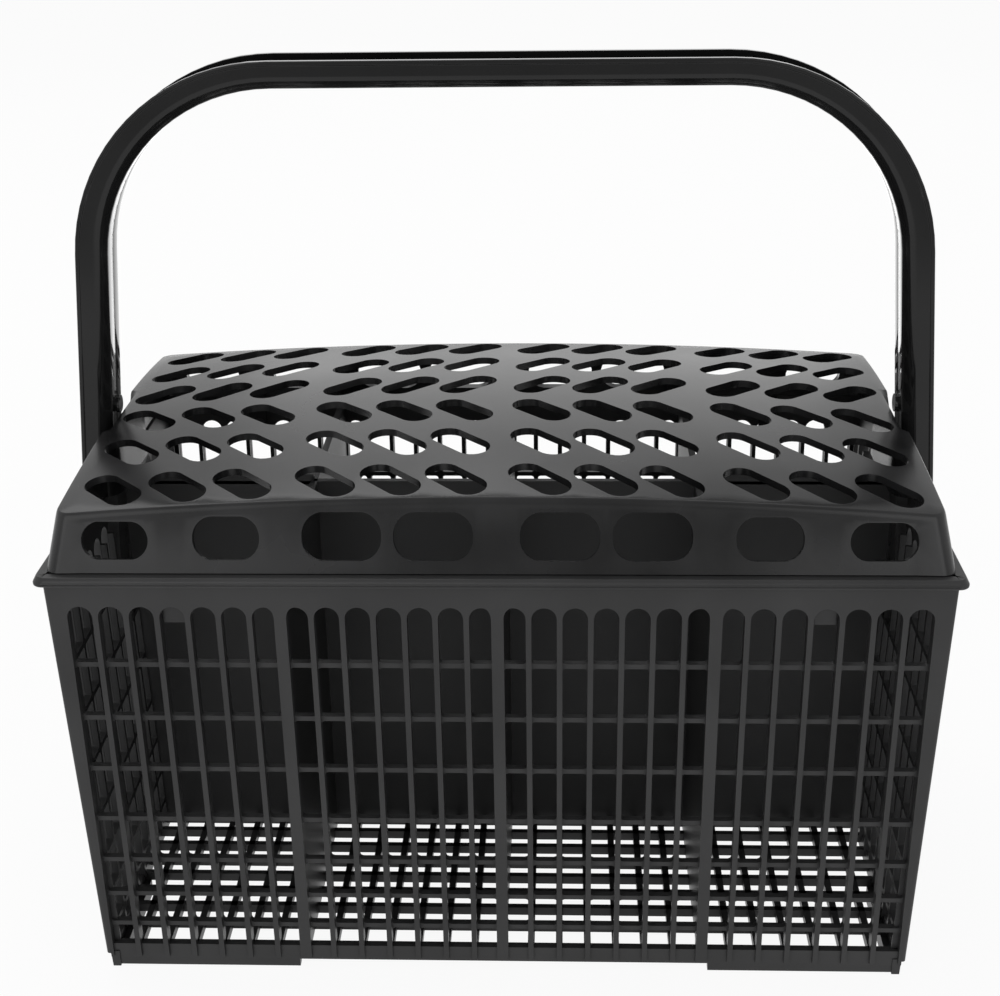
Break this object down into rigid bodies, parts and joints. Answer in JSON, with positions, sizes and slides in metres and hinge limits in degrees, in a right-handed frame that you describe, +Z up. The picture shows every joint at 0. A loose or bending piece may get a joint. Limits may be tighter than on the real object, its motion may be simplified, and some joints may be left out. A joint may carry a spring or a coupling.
{
  "type": "dishwasher cutlery basket",
  "caption": "Grid-walled cutlery basket with inner walls, a crowned press-on lid of slanted slots and a tall arched carrying handle.",
  "frame": {"origin": "on the floor under the middle of the basket, at the bottom of its feet", "axes": "+X along the long side, -Y towards the front, +Z up through the handle"},
  "size_m": [0.2448, 0.1456, 0.2454],
  "materials": {
    "basket_plastic": "matt dark grey moulded polypropylene",
    "lid_plastic": "satin dark grey moulded polypropylene",
    "handle_plastic": "glossy near-black moulded polypropylene"
  },
  "bodies": {
    "basket": {"basket": "basket_plastic", "handle": "handle_plastic"},
    "lid": {"lid": "lid_plastic"}
  },
  "joints": [
    {"name": "lid_lift", "type": "slide", "parent": "basket", "child": "lid", "axis": [0, 0, 1], "range_m": [0, 0.018]}
  ]
}
